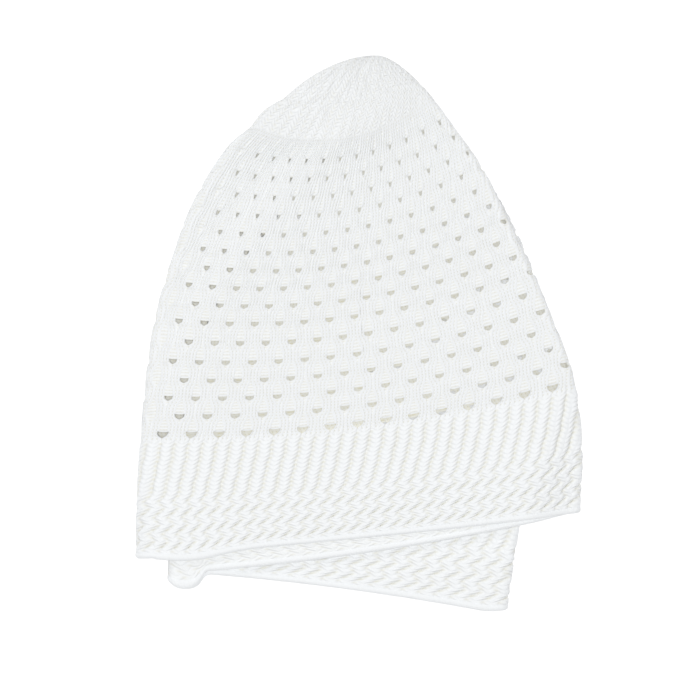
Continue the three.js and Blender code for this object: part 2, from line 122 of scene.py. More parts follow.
# Where the four folds run, as shares of the lying width and length, and how far the courses sag.
FOLDS = table(
    "up left_x left_y right_x right_y tuck_x tuck_y back_x back_y front_sag over_sag under_sag back_sag",
    [
        (0.0, -0.5, -0.398, 0.496, -0.319, -0.433, -0.428, 0.331, -0.5, 0.005, 0.014, -0.009, -0.008),
        (0.12, -0.5, -0.293, 0.5, -0.207, -0.43, -0.318, 0.352, -0.38, 0.016, 0.016, 0.0, 0.0),
        (0.24, -0.493, -0.177, 0.482, -0.082, -0.415, -0.198, 0.381, -0.243, 0.026, 0.02, 0.01, 0.01),
        (0.375, -0.479, -0.046, 0.424, 0.045, -0.388, -0.064, 0.438, -0.09, 0.034, 0.026, 0.018, 0.018),
        (0.44, -0.466, 0.024, 0.389, 0.11, -0.364, -0.002, 0.456, -0.028, 0.038, 0.028, 0.022, 0.022),
        (0.51, -0.444, 0.092, 0.352, 0.173, -0.32, 0.07, 0.43, 0.041, 0.041, 0.03, 0.026, 0.026),
        (0.65, -0.384, 0.228, 0.274, 0.299, -0.2, 0.215, 0.354, 0.185, 0.043, 0.03, 0.028, 0.032),
        (0.75, -0.306, 0.331, 0.199, 0.384, -0.06, 0.332, 0.289, 0.281, 0.043, 0.026, 0.024, 0.034),
        (0.8, -0.247, 0.374, 0.16, 0.428, 0.02, 0.39, 0.222, 0.351, 0.04, 0.018, 0.016, 0.032),
        (0.84, -0.221, 0.413, 0.136, 0.4616, 0.05, 0.43, 0.18, 0.412, 0.036, 0.012, 0.012, 0.028),
        (0.88, -0.2, 0.426, 0.146, 0.455, 0.06, 0.44, 0.138, 0.45, 0.03, 0.01, 0.01, 0.024),
    ],
)

# How high the middle of the lowest wall lies.
REST = table(
    "up middle",
    [
        (0.0, HEM_WALL / 2),
        (0.04, HEM_WALL / 2),
        (0.08, HEM_WALL / 2),
        (0.16, BAND_WALL / 2 + LYING_CLEARANCE),
        (0.24, BAND_WALL / 2 + LYING_CLEARANCE),
        (0.36, MESH_WALL / 2 + LYING_CLEARANCE),
        (0.8, MESH_WALL / 2 + LYING_CLEARANCE),
        (0.88, CROWN_WALL / 2 + LYING_CLEARANCE),
    ],
)

# How round each fold is, and how many eyelet columns lie left and right of the middle of the front.
ROUNDNESS = table(
    "up left right back tuck tucked puffed left_columns right_columns",
    [
        (0.0, 0.95, 0.9, 0.85, 1.3, 1, 1.0, 4.2, 11.2),
        (0.12, 0.9, 0.85, 0.8, 1.0, 1, 1.1, 4.9, 10.3),
        (0.24, 0.9, 0.8, 0.75, 0.8, 1, 1.1, 5.35, 9.55),
        (0.51, 0.95, 0.8, 0.75, 0.8, 1, 1.0, 5.75, 8.55),
        (0.65, 1.05, 0.8, 0.8, 0.9, 1, 0.95, 5.95, 7.7),
        (0.75, 1.2, 0.8, 0.8, 1.0, 1, 1.0, 5.7, 6.6),
        (0.8, 1.3, 0.8, 0.8, 1.0, 1, 0.8, 5.5, 6.2),
        (0.84, 1.4, 0.8, 0.8, 0.9, 0.56, 0.5, 5.5, 6.2),
        (0.88, 1.5, 0.8, 0.8, 0.8, 0, 0.3, 5.5, 6.2),
    ],
)

# The knitting: eyelet columns round the cap, wales in a column, and the height of a course.
COLUMNS = 52
COLUMN_PITCH = 10.0
WALES = 6
COURSE = 1.02
CROWN_WALE = 2.3
CROWN_COURSE = 1.6
CROWN_FAN = np.array([22.0, 150.0])
EYELET_ROW_PITCH = 6.1
FIRST_EYELET_ROW = BAND_DEPTH + 2.5
EYELET_ROWS = 16

LAYERS = (
    ("front", "left", "right", "front_sag"),
    ("tuck_over", "right", "tuck", "over_sag"),
    ("tuck_under", "tuck", "back", "under_sag"),
    ("back", "back", "left", "back_sag"),
)
TURN_SIGN = {"right": 1, "tuck": -1, "back": 1, "left": -1}

# How finely each layer and each fold is followed round the girth.
STEPS = {"front": 15, "tuck_over": 7, "tuck_under": 4, "back": 8}
FOLD_STEPS = 6
FINE = 16
SAMPLES_PER_COLUMN = 40
NORMAL_PASSES = 6
CROWN_NORMAL_PASSES = 60


def clamp(x, low=0.0, high=1.0):
    return np.clip(x, low, high)


def mix(a, b, t):
    return a + (b - a) * t


def smooth(x):
    x = clamp(x)
    return x * x * (3 - 2 * x)


def read(columns, name, up):
    """A column's value at a share of the knit depth, on a smooth curve through its rows."""
    ups, values = columns["up"], columns[name]
    last = len(ups) - 1
    i = 0
    while i < last - 1 and up > ups[i + 1]:
        i += 1
    before, after = max(i - 1, 0), min(i + 2, last)
    span = ups[i + 1] - ups[i]
    leaving = (values[i + 1] - values[before]) / (ups[i + 1] - ups[before])
    arriving = (values[after] - values[i]) / (ups[after] - ups[i])
    t = min(1.0, max(0.0, (up - ups[i]) / span))
    t2, t3 = t * t, t * t * t
    return (
        (2 * t3 - 3 * t2 + 1) * values[i]
        + (t3 - 2 * t2 + t) * span * leaving
        + (3 * t2 - 2 * t3) * values[i + 1]
        + (t3 - t2) * span * arriving
    )


def fold_point(fold, up):
    return np.array([read(FOLDS, fold + "_x", up) * LYING_WIDTH, read(FOLDS, fold + "_y", up) * LYING_LENGTH])


FOLD_PATHS = {
    fold: np.array([fold_point(fold, up) for up in np.linspace(0, 0.88, 400)]) for fold in ("back", "tuck")
}


def fold_x_at(fold, y):
    """Where a fold crosses a given y."""
    path = FOLD_PATHS[fold]
    return np.interp(y, path[:, 1], path[:, 0])


class Course:
    """One course of the folded girth: where its four folds lie, and how high."""

    def __init__(self, depth):
        self.up = up = depth / KNIT_DEPTH
        outline = {fold: fold_point(fold, up) for fold in TURN_SIGN}
        self.radius = {fold: read(ROUNDNESS, fold, up) * FOLD_RADIUS for fold in TURN_SIGN}
        side = outline["right"] - outline["left"]
        across = np.linalg.norm(side)
        self.inward = side / across
        self.rest = read(REST, "middle", up)
        self.tucked = float(clamp(read(ROUNDNESS, "tucked", up)))
        puff = mix(PUFF, CROWN_PUFF, smooth((up - CROWN_PUFF_FROM) / CROWN_PUFF_RUN))
        self.puff = puff * max(0.0, read(ROUNDNESS, "puffed", up))
        self.fade = float(clamp(1 - depth / HEM_SHAPE_FADE)) ** 2
        self.at = {}

        def draw_in(fold, swing):
            inset = min(swing + BAND_WALL / 2, across * LARGEST_INSET)
            self.at[fold] = outline[fold] - TURN_SIGN[fold] * inset * self.inward

        for fold in TURN_SIGN:
            draw_in(fold, self.radius[fold])
        self.side_swing = SIDE_ROUNDNESS * (self.layer(0, 1.0)[2] - self.rest)
        for i, (_, _, fold, _) in enumerate(LAYERS):
            swing = abs(self.layer(i, 1.0)[2] - self.layer((i + 1) % 4, 0.0)[2]) / 2
            opened = 1 - self.tucked if fold in ("right", "back") else 0
            draw_in(fold, mix(swing, self.side_swing, opened))

    def loft(self, from_tuck):
        """How far the tuck lifts the front off the back, most at the tuck's fold."""
        bulge = (self.radius["tuck"] - TUCK_REST_RADIUS) * np.exp(-np.maximum(from_tuck, 0) / TUCK_LOFT_REACH)
        return 2 * self.radius["back"] + 2 * (TUCK_REST_RADIUS + bulge)

    def height(self, name, x, y, t):
        """How high a layer lies over the table."""
        over_back = smooth((fold_x_at("back", y) + DRAPE_REACH - x) / DRAPE_REACH)
        if name == "front":
            over_tuck = smooth((x - fold_x_at("tuck", y) + DRAPE_REACH) / DRAPE_REACH)
            lift = LIFT_AT_TIP * smooth((self.up - LIFT_FROM) / (TIP_FROM / KNIT_DEPTH - LIFT_FROM))
            stack = self.loft(x - self.at["tuck"][0]) * mix(over_back * over_tuck, 1, lift)
            edge = 2 * mix(self.radius["left"], self.radius["right"], smooth(t))
            return self.rest + stack + edge + self.puff * np.sin(math.pi * clamp(t)) ** PUFF_BREADTH
        if name == "tuck_over":
            return self.rest + self.loft(x - self.at["tuck"][0]) * over_back
        if name == "tuck_under":
            return self.rest + 2 * self.radius["back"] + 0 * x
        return self.rest + 0 * x

    def lobe(self, from_tuck):
        """How far the hem sags in a round lobe at the tuck's fold."""
        across = (from_tuck - LOBE_MIDDLE) / LOBE_RADIUS
        sag = LOBE_RADIUS * np.sqrt(clamp(1 - across**2)) - LOBE_RISE
        return np.where(across < 0, sag, np.maximum(sag, 0))

    def hem_drop(self, name, t, width):
        """How far the hem drops below its straight course, besides the sag."""
        if name == "front":
            return DIP_DROP * np.exp(-(((t - DIP_PLACE) / DIP_SPREAD) ** 2)) * self.fade
        drop = 0.0 * t
        if name != "back":
            from_tuck = ((1 - t) if name == "tuck_over" else t) * width
            drop = drop + self.lobe(from_tuck)
        if name != "tuck_over":
            from_corner = ((1 - t) if name == "tuck_under" else t) * width
            drop = drop - CORNER_LIFT * clamp(1 - from_corner / CORNER_REACH) ** 2
        return drop * self.fade

    def layer(self, i, t):
        """Points of a layer, from the fold where it starts to the fold where it ends."""
        name, start, end, sag = LAYERS[i]
        t = np.asarray(t, float)
        a, b = self.at[start], self.at[end]
        width = np.linalg.norm(b - a)
        x = mix(a[0], b[0], t)
        drop = read(FOLDS, sag, self.up) * LYING_LENGTH * 4 * t * (1 - t) + self.hem_drop(name, t, width)
        y = mix(a[1], b[1], t) - drop
        return np.stack([x, y, self.height(name, x, y, t)], axis=-1)

    def turn(self, i, t):
        """A fold turns from the end of one layer to the start of the next on a half ellipse."""
        a, b = self.layer(i, 1.0), self.layer((i + 1) % 4, 0.0)
        middle = (a + b) / 2
        reach = TURN_SIGN[LAYERS[i][2]] * np.sin(math.pi * t) * abs(a[2] - b[2]) / 2
        x = middle[0] + self.inward[0] * reach
        y = middle[1] + self.inward[1] * reach
        if LAYERS[i][2] == "tuck":
            y = y + (self.lobe(0.0) - self.lobe(-np.abs(reach))) * self.fade
        return np.stack([x, y, middle[2] + np.cos(math.pi * t) * (a[2] - b[2]) / 2], axis=-1)

    def plain_side(self, share):
        """The round side from the front to the back, where the tuck has run out."""
        top, foot = self.layer(0, 1.0), self.layer(3, 0.0)
        point = mix(top, foot, share[:, None])
        point[:, 2] = mix(top[2], foot[2], (1 - np.cos(math.pi * share)) / 2)
        point[:, :2] += self.inward * (np.sin(math.pi * share) * self.side_swing)[:, None]
        return point


# The share of the plain round side that each stretch takes up, once the tuck has run out.
SIDE_SHARES = {
    (0, True): (0, 0.12),
    (1, False): (0.12, 0.42),
    (1, True): (0.42, 0.58),
    (2, False): (0.58, 0.88),
    (2, True): (0.88, 1),
}


def girth_stretches():
    """The stretches of the girth in order: the layer, whether it is the fold after it, and its samples."""
    for i, (name, *_) in enumerate(LAYERS):
        yield i, False, np.arange(STEPS[name] * FINE) / (STEPS[name] * FINE)
        yield i, True, np.arange(FOLD_STEPS * FINE) / (FOLD_STEPS * FINE)


def evened_out(points, evening, rounding):
    """Spreads the points of a course evenly round it, and rounds its corners."""
    n = len(points)
    closed = np.vstack([points, points[:1]])
    passed = np.concatenate([[0], np.cumsum(np.linalg.norm(np.diff(closed, axis=0), axis=1))])
    even_at = np.arange(n) * passed[-1] / n
    even = np.stack([np.interp(even_at, passed, closed[:, axis]) for axis in range(3)], axis=-1)
    spread = mix(points, even, evening)
    steps = n // FINE
    modes = np.minimum(np.arange(n // 2 + 1), steps // 2)
    keep = (1 - rounding / 2 * (1 - np.cos(2 * math.pi * modes / steps))) ** ROUNDING_PASSES
    return np.fft.irfft(np.fft.rfft(spread, axis=0) * keep[:, None], n, axis=0)


def course_ring(depth):
    """The middle of the wall all round one course, and the eyelet column at each of its points."""
    course = Course(min(depth, TIP_FROM))
    parts = []
    for i, is_fold, t in girth_stretches():
        points = course.turn(i, t) if is_fold else course.layer(i, t)
        side = SIDE_SHARES.get((i, is_fold))
        if side and course.tucked < 1:
            points = mix(points, course.plain_side(mix(side[0], side[1], t)), 1 - course.tucked)
        parts.append(points)
    front = len(parts[0])
    points = np.vstack(parts)
    left = -read(ROUNDNESS, "left_columns", course.up)
    right = read(ROUNDNESS, "right_columns", course.up)
    passed = np.concatenate([[0], np.cumsum(np.linalg.norm(np.diff(points[front:], axis=0), axis=1))])
    around = passed / (passed[-1] + np.linalg.norm(points[0] - points[-1]))
    columns = np.concatenate([mix(left, right, np.arange(front) / front), mix(right, left + COLUMNS, around)])
    above_net = smooth((depth - NET_TOP) / (KNIT_DEPTH - NET_TOP))
    if above_net:
        rounding = float(smooth(ROUNDING_RATE * (1 - course.tucked)))
        points = evened_out(points, EVENING * above_net, rounding)
    if depth > TIP_FROM:
        left_over = (KNIT_DEPTH - depth) / (KNIT_DEPTH - TIP_FROM)
        points = (points - TIP) * left_over**TIP_CURVES + TIP
    closed = np.vstack([points, points[:1]])
    passed = np.concatenate([[0], np.cumsum(np.linalg.norm(np.diff(closed, axis=0), axis=1))])
    centre = front // 2
    even = columns[centre] + COLUMNS * (passed[:-1] - passed[centre]) / passed[-1]
    return points + CENTRING, mix(columns, even, smooth((depth - NET_TOP) / EVEN_COLUMNS_REACH))


class Lay:
    """The middle surface of the lying cap, by eyelet column and depth."""

    SAMPLES = COLUMNS * SAMPLES_PER_COLUMN

    def __init__(self):
        # The courses are followed more closely towards the tip.
        self.depths = np.concatenate(
            [np.arange(0, 165, 0.5), np.arange(165, 176, 0.25), np.arange(176, KNIT_DEPTH - 0.05, 0.1)]
        )
        rings, columns = zip(*(course_ring(depth) for depth in self.depths))
        rings, columns = np.array(rings), np.array(columns)
        along = np.roll(rings, -1, axis=1) - np.roll(rings, 1, axis=1)
        up = np.gradient(rings, self.depths, axis=0)
        normals = np.cross(along, up)
        normals /= np.linalg.norm(normals, axis=-1, keepdims=True) + 1e-12
        for _ in range(NORMAL_PASSES):
            normals = (np.roll(normals, 1, axis=1) + 2 * normals + np.roll(normals, -1, axis=1)) / 4
        above = self.depths > NET_TOP
        for _ in range(CROWN_NORMAL_PASSES):
            soft = (np.roll(normals, 2, axis=1) + 2 * normals + np.roll(normals, -2, axis=1)) / 4
            normals[above] = soft[above]
        normals /= np.linalg.norm(normals, axis=-1, keepdims=True)
        at = np.arange(self.SAMPLES) * COLUMNS / self.SAMPLES

        def at_even_columns(grid):
            return np.array(
                [
                    np.stack([np.interp(at, k, v[:, axis], period=COLUMNS) for axis in range(3)], axis=-1)
                    for k, v in zip(columns, grid)
                ]
            )

        self.surface = at_even_columns(rings)
        self.normal = at_even_columns(normals)

    def __call__(self, column, depth, height):
        """Points at a height over the middle of the wall, outward."""
        row = np.interp(depth, self.depths, np.arange(len(self.depths)))
        i = np.minimum(row.astype(int), len(self.depths) - 2)
        v = (row - i)[:, None]
        place = np.mod(column, COLUMNS) / COLUMNS * self.SAMPLES
        j = np.floor(place).astype(int)
        u = (place - j)[:, None]
        j %= self.SAMPLES
        k = (j + 1) % self.SAMPLES

        def between(grid):
            low = grid[i, j] * (1 - u) + grid[i, k] * u
            high = grid[i + 1, j] * (1 - u) + grid[i + 1, k] * u
            return low * (1 - v) + high * v

        normal = between(self.normal)
        normal /= np.linalg.norm(normal, axis=1, keepdims=True)
        return between(self.surface) + normal * np.asarray(height)[:, None]


lay = Lay()

# How far the wall takes to change its thickness between two stretches.
BAND_TO_NET = 4.0
NET_TO_CROWN = 6.0


def wall_at(depth):
    """The wall's thickness, which runs smoothly from one stretch of knitting to the next."""
    band = mix(BAND_WALL, MESH_WALL, smooth((depth - BAND_DEPTH + BAND_TO_NET / 2) / BAND_TO_NET))
    return mix(band, CROWN_WALL, smooth((depth - NET_TOP + NET_TO_CROWN / 2) / NET_TO_CROWN))


def unevenness(column, depth):
    """The slow unevenness of a hand-laid knit, from -1 to 1."""
    a = np.sin(2 * math.pi * (3 * column / COLUMNS + depth / 61) + 0.7)
    b = np.sin(2 * math.pi * (7 * column / COLUMNS - depth / 37) + 2.1)
    c = np.sin(2 * math.pi * (13 * column / COLUMNS + depth / 23) + 4.4)
    d = np.sin(2 * math.pi * (29 * column / COLUMNS - depth / 17) + 1.3)
    return (a + b + c + 0.7 * d) / 3.7


# The eyelets: half moons, flat above and pointed below, staggered by half a column.
EYELET_HALF_WIDTH = 1.65
EYELET_TOP = 0.6
EYELET_POINT = -1.15
RIM_TOP = 0.7

# Above each eyelet its column opens in a ladder with pinholes over it, narrower towards the crown.
# The pattern of a column repeats every two rows.
LADDER_PERIOD = 2 * EYELET_ROW_PITCH
BELOW_EYELET = 3.4
NARROWEST_LADDER = 0.45
LADDERS_NARROW_FROM = 80
LADDERS_NARROW_RUN = 50
LADDER_NUMBER_STEP = 0.12
PINHOLES_ABOVE_LADDER = (1.2, 3.0, 4.8)
LADDER_TOP = 4.9
LADDER_HALF_WIDTH = 1.25
LADDER_SINK = 0.3
LADDER_BAR = 0.12
WALE_SINK = 0.36
PINHOLE_SINK = 0.25
PINHOLE_RADIUS = 0.42
RIM_SINK = 0.3
RIM_REACH = 0.7


def from_eyelet(above):
    """A height in the net, counted from the eyelet of its column that it belongs to."""
    return np.mod(above + BELOW_EYELET, LADDER_PERIOD) - BELOW_EYELET


def ladder_opening(above):
    """How far the wales stand apart at a height above an eyelet of their column, from 0 to 1."""
    above = from_eyelet(above)
    return smooth((above + 2.8) / 2.4) * (1 - smooth((above - LADDER_TOP + 3.0) / 4.4))


def net_pattern(column, depth):
    """The net's relief in millimetres below its top, and its wale number, at places of the fabric."""
    nearest = np.round(column)
    from_even = COLUMN_PITCH * np.abs(column - nearest)
    half = COLUMN_PITCH / 2
    above_even = depth - FIRST_EYELET_ROW
    above_odd = above_even - EYELET_ROW_PITCH
    last_row = FIRST_EYELET_ROW + (EYELET_ROWS - 1) * EYELET_ROW_PITCH
    begun = smooth((depth - FIRST_EYELET_ROW + 1.6) / 1.2)
    inside = begun * (1 - smooth((depth - last_row - LADDER_TOP) / 2))
    narrowing = smooth((depth - LADDERS_NARROW_FROM) / LADDERS_NARROW_RUN)
    half_width = LADDER_HALF_WIDTH * mix(1, NARROWEST_LADDER, narrowing)
    gap_even = half_width * ladder_opening(above_even) * inside
    gap_odd = half_width * ladder_opening(above_odd) * inside
    wale = clamp((from_even - gap_even) / (half - gap_even - gap_odd)) * WALES / 2
    valley = 0.5 + 0.5 * np.cos(2 * math.pi * wale)
    sink = WALE_SINK * valley**1.5

    def ladder(distance, gap, above):
        above = from_eyelet(above)
        within = smooth((gap - distance) / 0.5 + 0.35) * smooth((above + 0.2) / 0.8)
        bars = 0.5 + 0.5 * np.cos(2 * math.pi * above / COURSE)
        return within, LADDER_SINK - LADDER_BAR * bars

    for distance, gap, above in (
        (from_even, gap_even, above_even),
        (half - from_even, gap_odd, above_odd),
    ):
        within, low = ladder(distance, gap, above)
        sink = mix(sink, low, within * inside)
        height = np.mod(above, LADDER_PERIOD)
        for step in PINHOLES_ABOVE_LADDER:
            near = ((height - (LADDER_TOP + step)) ** 2 + distance**2) / PINHOLE_RADIUS**2
            sink = sink + PINHOLE_SINK * np.exp(-near) * inside
        flat_above = from_eyelet(above)
        lower_edge = EYELET_POINT * (1 - distance / EYELET_HALF_WIDTH)
        rim = np.maximum(
            np.abs(distance) - EYELET_HALF_WIDTH,
            np.maximum(flat_above - EYELET_TOP, lower_edge - flat_above),
        )
        sink = sink + RIM_SINK * np.exp(-np.maximum(rim, 0) / RIM_REACH * 2) * inside * (flat_above < RIM_TOP)
    # Inside a ladder the number stands a little beside a valley's, so that the painted shade of its bars is
    # fainter.
    wale = wale + LADDER_NUMBER_STEP * (wale < 1e-6) - LADDER_NUMBER_STEP * (wale > WALES / 2 - 1e-6)
    cell = np.floor(2 * column)
    number = np.where(cell % 2 == 0, WALES / 2 * cell + wale, WALES / 2 * (cell + 1) - wale)
    return sink, number


# The band: ribs half a column wide, their grooves straight above and swinging in a zigzag below.
RIB_PITCH = COLUMN_PITCH / 2
GROOVE_SINK = 0.6
GROOVE_HALF_WIDTH = 0.62
RIB_ROUND = 0.4
ZIGZAG_PERIOD = 5.7
ZIGZAG_SWING = 1.45
ZIGZAG_TOP = 22.0
ZIGZAG_STROKE_AT = 4.7
STROKE_SHARE = 0.56
DASH_PITCH = 1.45

# The crown's plain knitting lies a little below the band's and the net's tops.
CROWN_SINK = 0.1


def zigzag(depth):
    """Where a groove has swung to, and whether it is on a long upright stroke, from 0 to 1."""
    turn = np.mod((depth - ZIGZAG_STROKE_AT) / ZIGZAG_PERIOD + STROKE_SHARE / 2, 1)
    rising = turn < STROKE_SHARE
    swing = np.where(rising, 2 * turn / STROKE_SHARE - 1, 1 - 2 * (turn - STROKE_SHARE) / (1 - STROKE_SHARE))
    strength = smooth((ZIGZAG_TOP + 1.5 - depth) / 5)
    stroke = smooth(1 - np.abs(turn - STROKE_SHARE / 2) / (STROKE_SHARE / 2) + 0.1)
    return swing * ZIGZAG_SWING * mix(0.16, 1, strength), mix(0.5, stroke, strength), strength


def band_pattern(column, depth):
    """The band's relief in millimetres below its top, and its wale number."""
    swung, stroke, strength = zigzag(depth)
    place = COLUMN_PITCH * column - swung
    from_groove = np.abs(np.mod(place + RIB_PITCH / 2, RIB_PITCH) - RIB_PITCH / 2)
    rib = np.floor(place / RIB_PITCH + 0.5)
    dashes = 0.65 + 0.35 * np.cos(2 * math.pi * (depth / DASH_PITCH + 0.5 * rib))
    deep = mix(dashes, 0.35 + 0.75 * stroke, strength)
    width = GROOVE_HALF_WIDTH * mix(0.7 + 0.5 * dashes, 0.75 + 0.55 * stroke, strength)
    sink = GROOVE_SINK * deep * np.exp(-((from_groove / width) ** 2))
    sink = sink + RIB_ROUND * (2 * from_groove / RIB_PITCH - 1) ** 2 * (from_groove < RIB_PITCH / 2)
    sink = sink * mix(0.35, 1, smooth((depth - 2.6) / 1.6))
    return sink, place / RIB_PITCH


def crown_pattern(column, depth):
    return 0 * depth + CROWN_SINK, WALES / 2 * column


def pattern(column, depth, stretch):
    """The relief of any place of the knitting, and its wale number in the piece's own stretch."""
    low, low_number = band_pattern(column, depth)
    net, net_number = net_pattern(column, depth)
    top, top_number = crown_pattern(column, depth)
    above_band = smooth((depth - BAND_DEPTH + 2.2) / 2.6)
    above_net = smooth((depth - NET_TOP + 3) / 4)
    sink = mix(mix(low, net, above_band), top, above_net)
    return sink, {"band": low_number, "net": net_number, "crown": top_number}[stretch]


def select_only(*objects):
    bpy.ops.object.select_all(action="DESELECT")
    for obj in objects:
        obj.select_set(True)
    bpy.context.view_layer.objects.active = objects[0]


def points_of(obj):
    points = np.empty(len(obj.data.vertices) * 3)
    obj.data.vertices.foreach_get("co", points)
    return points.reshape(-1, 3)


def set_points(obj, points):
    obj.data.vertices.foreach_set("co", np.asarray(points, np.float32).ravel())
    obj.data.update()


def select_faces(obj, chosen):
    """Selects just these faces of a mesh, and nothing else of it."""
    mesh = obj.data
    for part in (mesh.vertices, mesh.edges):
        part.foreach_set("select", np.zeros(len(part), bool))
    mesh.polygons.foreach_set("select", np.asarray(chosen, bool))


def delete_faces(obj, chosen, kind="FACE"):
    """Deletes faces of a mesh; ONLY_FACE leaves their edges."""
    select_only(obj)
    select_faces(obj, chosen)
    bpy.ops.object.mode_set(mode="EDIT")
    bpy.ops.mesh.select_mode(type="FACE")
    bpy.ops.mesh.delete(type=kind)
    bpy.ops.object.mode_set(mode="OBJECT")


def corner_points(mesh):
    """The number of the point at each corner of each face."""
    corners = np.empty(len(mesh.loops), int)
    mesh.loops.foreach_get("vertex_index", corners)
    return corners


def mark_yarn(mesh, places, painted_shade_mask):
    """Writes each point's place in the rows of stitches, and how much painted shade its colour takes, which
    on the outside grows with how deep it lies.
    """
    stitches = mesh.uv_layers[0] if mesh.uv_layers else mesh.uv_layers.new()
    stitches.name = "stitches"
    stitches.data.foreach_set("uv", places[corner_points(mesh)].astype(np.float32).ravel())
    depths = mesh.attributes.new("painted_shade_mask", "FLOAT", "POINT")
    depths.data.foreach_set("value", painted_shade_mask.astype(np.float32))


def nearest_eyelet(column, depth):
    """The nearest eyelet to a place of the net, as its column and depth."""
    best = None
    for parity in (0, 1):
        offset = parity / 2
        above_first = depth - FIRST_EYELET_ROW - parity * EYELET_ROW_PITCH
        row = 2 * np.round(above_first / (2 * EYELET_ROW_PITCH)) + parity
        row = clamp(row, parity, EYELET_ROWS - 2 + parity)
        at = np.round(column - offset) + offset
        height = FIRST_EYELET_ROW + row * EYELET_ROW_PITCH
        far = (COLUMN_PITCH * (column - at)) ** 2 + (depth - height) ** 2
        if best is None:
            best = (far, at, height)
        else:
            closer = far < best[0]
            best = tuple(np.where(closer, new, old) for new, old in zip((far, at, height), best))
    return best[1], best[2]


def rim_path(widths):
    """The cells' corners round the right half of an eyelet, from the middle below to the middle above.

    "widths" holds how many cells each row of the cut reaches to the right, from the lowest row up.
    """
    corners, right, rows = [], 0, len(widths)
    for row, reach in enumerate(widths):
        corners += [(x, row) for x in range(right, reach + 1)]
        right = reach
        if row == rows - 1:
            corners.append((reach, rows))
    tidy = []
    for x in corners:
        if x not in tidy:
            tidy.append(x)
    tidy += [(x, rows) for x in range(right - 1, -1, -1)]
    return tidy


# An eyelet's edge: the share of it below its corner, the curves of that stretch, and its top's sag.
EYELET_BELOW = 0.62
EYELET_CHEEK = 1.15
EYELET_SLOPE = 1.5
EYELET_TOP_SAG = 0.18


def eyelet_outline(share):
    """A point of the right half of an eyelet's edge, from its lowest point (0) to the top's middle (1)."""
    if share < EYELET_BELOW:
        t = share / EYELET_BELOW
        across = EYELET_HALF_WIDTH * math.sin(t * math.pi / 2) ** EYELET_CHEEK
        return across, mix(EYELET_POINT, EYELET_TOP, t**EYELET_SLOPE)
    t = (share - EYELET_BELOW) / (1 - EYELET_BELOW)
    return EYELET_HALF_WIDTH * (1 - t), EYELET_TOP - EYELET_TOP_SAG * math.sin(t * math.pi / 2)


# Left of this column the net runs round the left fold, where its eyelets close up.
FIRST_OPEN_COLUMN = -5.3

# The lowest eyelets are larger than the rest, and the highest ones narrower and a little flatter.
LOWEST_LARGER = 0.3
HIGHEST_NARROWER = 0.56
HIGHEST_FLATTER = 0.12


def eyelet_size(height):
    """How wide and tall an eyelet is at its height, beside the common size."""
    row = (height - FIRST_EYELET_ROW) / EYELET_ROW_PITCH
    large = 1 - smooth(row / 1.6)
    narrow = smooth((row - 6) / 8)
    common = 1 + LOWEST_LARGER * large
    return common * (1 - HIGHEST_NARROWER * narrow), common * (1 - HIGHEST_FLATTER * narrow)


def cut_eyelets(obj, per_column, per_row, widths, first_row_line, last_column):
    """Deletes the cells of each eyelet from flat fabric and draws its edge to the half moon."""
    points = points_of(obj) / MM
    mesh = obj.data
    centres = np.empty(len(mesh.polygons) * 3)
    mesh.polygons.foreach_get("center", centres)
    centres = centres.reshape(-1, 3) / MM
    column, height = nearest_eyelet(centres[:, 0] / COLUMN_PITCH, centres[:, 1])
    cell = EYELET_ROW_PITCH / per_row
    across = np.abs(centres[:, 0] - column * COLUMN_PITCH) * per_column / COLUMN_PITCH
    up = (centres[:, 1] - height) / cell + first_row_line
    row = np.floor(up).astype(int)
    reach = np.array(list(widths) + [0])
    inside = (row >= 0) & (row < len(widths))
    open_here = (column >= FIRST_OPEN_COLUMN) & (column <= last_column)
    cut = inside & (across < reach[np.where(inside, row, -1)]) & open_here

    column, height = nearest_eyelet(points[:, 0] / COLUMN_PITCH, points[:, 1])
    x = np.round((points[:, 0] - column * COLUMN_PITCH) * per_column / COLUMN_PITCH).astype(int)
    y = np.round((points[:, 1] - height) / cell + first_row_line).astype(int)
    path = rim_path(widths)
    wide, tall = eyelet_size(height)
    for i, (cx, cy) in enumerate(path):
        outline = eyelet_outline(i / (len(path) - 1))
        for side in (-1, 1):
            hit = (x == side * cx) & (y == cy)
            points[hit, 0] = column[hit] * COLUMN_PITCH + side * outline[0] * wide[hit]
            points[hit, 1] = height[hit] + outline[1] * tall[hit]
    set_points(obj, points * MM)
    delete_faces(obj, cut)


def flat_fabric(name, columns, depths, per_column, rows):
    """A flat grid of fabric, with its columns along X and its depth along Y."""
    across = round((columns[1] - columns[0]) * per_column)
    width, height = (columns[1] - columns[0]) * COLUMN_PITCH * MM, (depths[1] - depths[0]) * MM
    bpy.ops.object.select_all(action="DESELECT")
    bpy.ops.mesh.primitive_grid_add(x_subdivisions=across, y_subdivisions=rows, size=1)
    obj = bpy.context.active_object
    obj.name = obj.data.name = name
    points = points_of(obj)
    points[:, 0] = (points[:, 0] + 0.5) * width + columns[0] * COLUMN_PITCH * MM
    points[:, 1] = (points[:, 1] + 0.5) * height + depths[0] * MM
    set_points(obj, points)
    return obj


# The laid fabric: its outer skin's lift, its slack, its rise and its thinner inside above the band, how
# much of the relief shows inside, and how far its columns wander.
OUTER_LIFT = 0.12
SLACK = 0.12
NET_RISE = 0.3
NET_THINNER = 0.3
INSIDE_RIBBING = 0.12
WANDER = 0.022

# The depth at which hollows take their fullest painted shade on the outside, and how strongly the colour is
# darkened with painted shade there and all over the inside.
DEEPEST_HOLLOW = 0.9
OUTER_PAINTED_SHADE = {"band": 1, "net": 0.2, "crown": 1}
INNER_PAINTED_SHADE = {"band": 0.25, "net": 1.0, "crown": 0.25}

# The crown's wales have their own width at this distance from the point where they fan out.
CROWN_FAN_REACH = 75
CROWN_WOBBLE = 0.3


